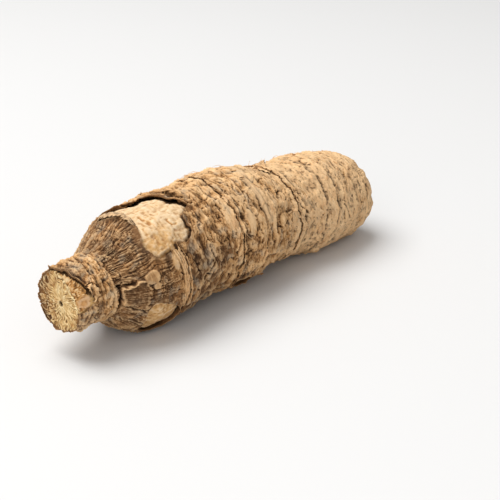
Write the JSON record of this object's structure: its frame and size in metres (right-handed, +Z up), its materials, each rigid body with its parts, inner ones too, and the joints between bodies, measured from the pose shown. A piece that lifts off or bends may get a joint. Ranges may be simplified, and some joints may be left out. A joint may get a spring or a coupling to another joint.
{
  "type": "iris rhizome",
  "caption": "Thick dried iris rhizome lying on its side: ringed, crinkled bark with peeled pale patches, and a short cut neck with a pith hole.",
  "frame": {"origin": "middle of the footprint, on the surface that the rhizome lies on", "axes": "+X from the cut neck towards the old end, +Z up as it lies, +Y to the side away from the picture's camera"},
  "size_m": [0.1556, 0.045, 0.0438],
  "materials": {
    "bark": "dry matt bark, fibrous and flaky, grey-brown to tan, over pale cream-tan flesh where it has peeled or is cut",
    "flesh": "dry matt cream-tan flesh, bare in the peeled patches and on the cut face"
  },
  "bodies": {
    "root": {"rhizome": "bark"}
  },
  "joints": []
}
